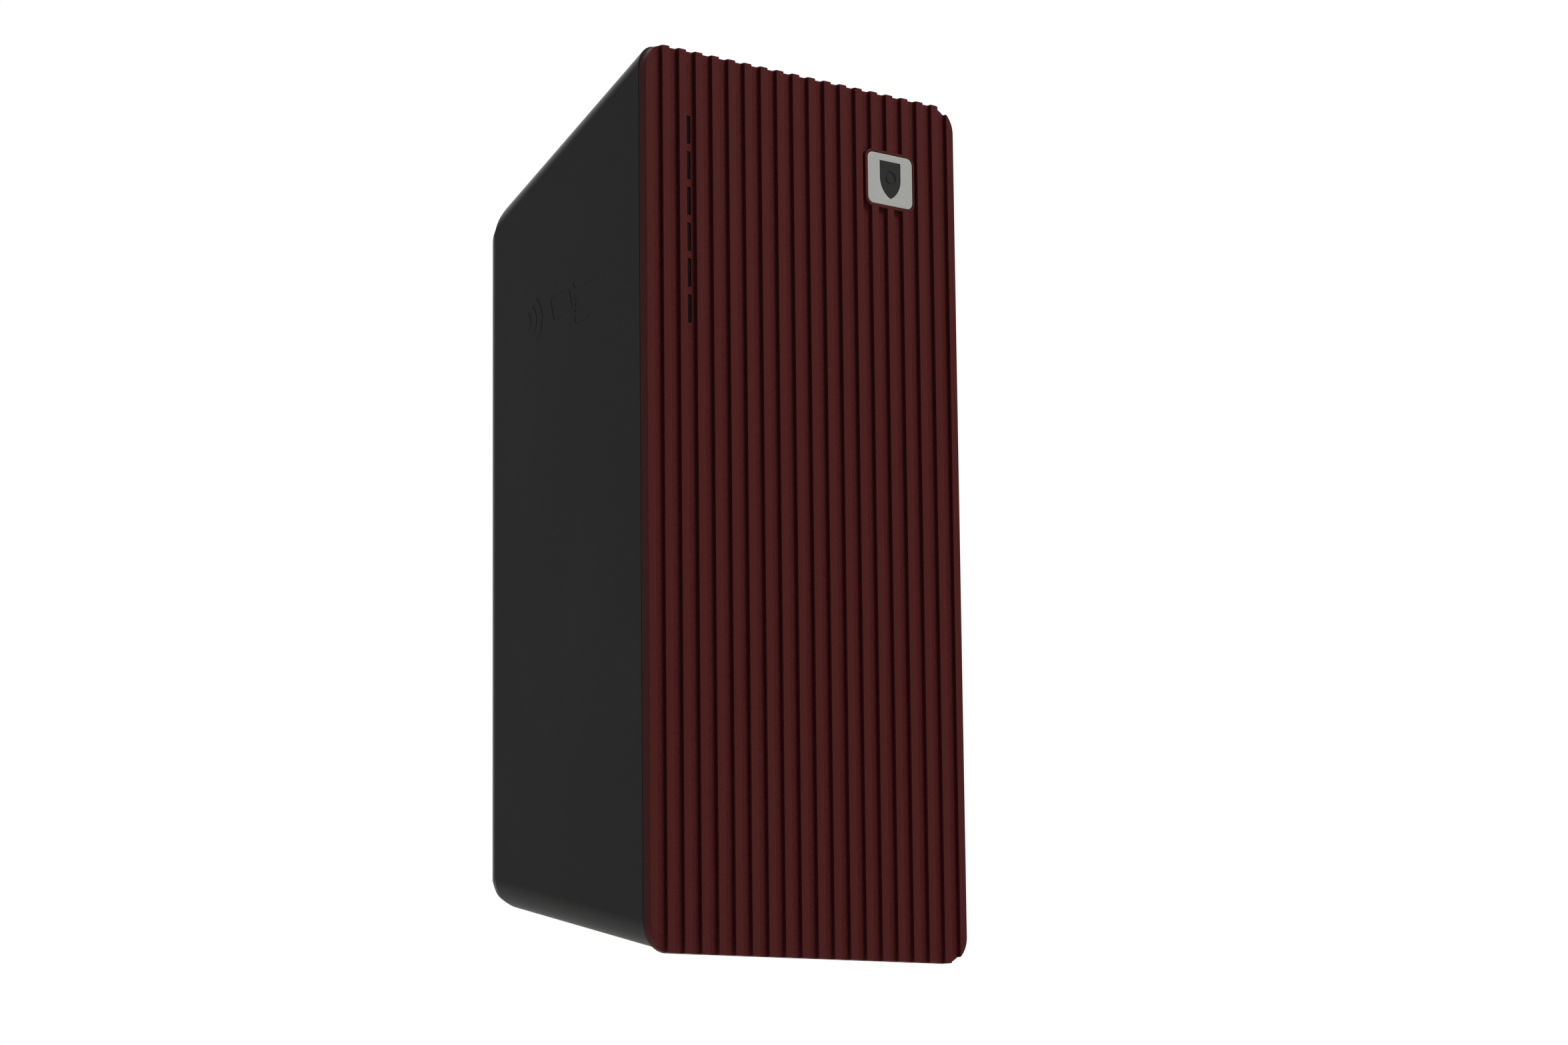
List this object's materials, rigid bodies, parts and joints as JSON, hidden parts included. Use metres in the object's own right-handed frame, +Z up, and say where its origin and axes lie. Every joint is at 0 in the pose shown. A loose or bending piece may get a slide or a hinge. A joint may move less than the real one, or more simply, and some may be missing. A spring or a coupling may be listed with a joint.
{
  "type": "wall-hung network firewall appliance",
  "caption": "Tall wall-hung firewall appliance with a ribbed front cover, light strip and tapered rear housing with downward sockets.",
  "frame": {"origin": "centre of the wall bracket's back face, which lies on the wall", "axes": "+Z up, +Y towards the wall, so the ribbed front faces -Y, and +X to the right of a viewer who faces the front"},
  "size_m": [0.1828, 0.112, 0.39],
  "materials": {
    "wine_red_coat": "matte powder coat on die-cast aluminium, wine red, with worn-bright rib edges",
    "charcoal_plastic": "fine-grained matte moulding, charcoal",
    "black_rubber": "closed-cell seal, black",
    "plated_steel": "zinc-plated sheet and screws",
    "satin_metal": "satin, brushed",
    "circuit_board": "green solder mask on glass laminate",
    "chip_black": "moulded epoxy package",
    "black_plastic": "fine matte moulding, black",
    "smoked_lens": "dark smoked light guide",
    "black_aluminium": "black anodised",
    "dark_inlay": "dark inlay, satin",
    "cable_jacket": "flexible jacket, black"
  },
  "bodies": {
    "wall_bracket": {"wall_bracket": "plated_steel"},
    "appliance": {"rear_housing": "charcoal_plastic", "housing_gasket": "black_rubber", "inner_cover": "plated_steel", "connector_plate": "plated_steel", "led_board": "circuit_board", "switch_frame": "black_plastic", "reset_switch": "chip_black", "fan_frame": "black_plastic", "power_supply": "satin_metal", "card_reader_board": "circuit_board", "earth_screw": "plated_steel", "power_inlet": "black_plastic", "sfp_cage": "plated_steel", "wan_jack": "plated_steel", "lan_jack_1": "plated_steel", "lan_jack_2": "plated_steel", "lan_jack_3": "plated_steel", "usb_port": "satin_metal", "main_board": "circuit_board", "processor": "chip_black", "heatsink": "black_aluminium", "memory_socket": "black_plastic", "memory_module": "circuit_board", "storage_module": "circuit_board", "cell_holder": "black_plastic", "coin_cell": "plated_steel", "light_lead": "cable_jacket", "reader_lead": "cable_jacket", "board_power_lead": "cable_jacket", "mains_lead": "cable_jacket", "cover_screw_1": "plated_steel", "cover_clip_1": "black_plastic", "board_screw_1": "plated_steel", "cover_screw_2": "plated_steel", "cover_clip_2": "black_plastic", "board_screw_2": "plated_steel", "cover_screw_3": "plated_steel", "cover_clip_3": "black_plastic", "board_screw_3": "plated_steel", "cover_screw_4": "plated_steel", "cover_clip_4": "black_plastic", "board_screw_4": "plated_steel"},
    "front_cover": {"front_cover": "wine_red_coat", "light_guide": "smoked_lens", "badge_plate": "satin_metal", "badge_emblem": "dark_inlay"},
    "power_rocker": {"power_rocker": "black_plastic"},
    "reset_button": {"reset_button": "black_plastic"},
    "fan_rotor": {"fan_rotor": "black_plastic"}
  },
  "joints": [
    {"name": "appliance_lift", "type": "slide", "parent": "wall_bracket", "child": "appliance", "axis": [0, 0, 1], "range_m": [0, 0.007]},
    {"name": "cover_pull", "type": "slide", "parent": "appliance", "child": "front_cover", "axis": [0, -1, 0], "range_m": [0, 0.012]},
    {"name": "rocker_tilt", "type": "hinge", "parent": "appliance", "child": "power_rocker", "pos_m": [0.03, -0.05, -0.1335], "axis": [0, -1, 0], "range_deg": [0, 20]},
    {"name": "reset_press", "type": "slide", "parent": "appliance", "child": "reset_button", "axis": [0, 0, 1], "range_m": [0, 0.0012], "stiffness_N_per_m": 500, "springref_m": -0.001},
    {"name": "fan_spin", "type": "hinge", "parent": "appliance", "child": "fan_rotor", "pos_m": [0.0808, -0.055, -0.015], "axis": [1, 0, 0], "continuous": true}
  ]
}
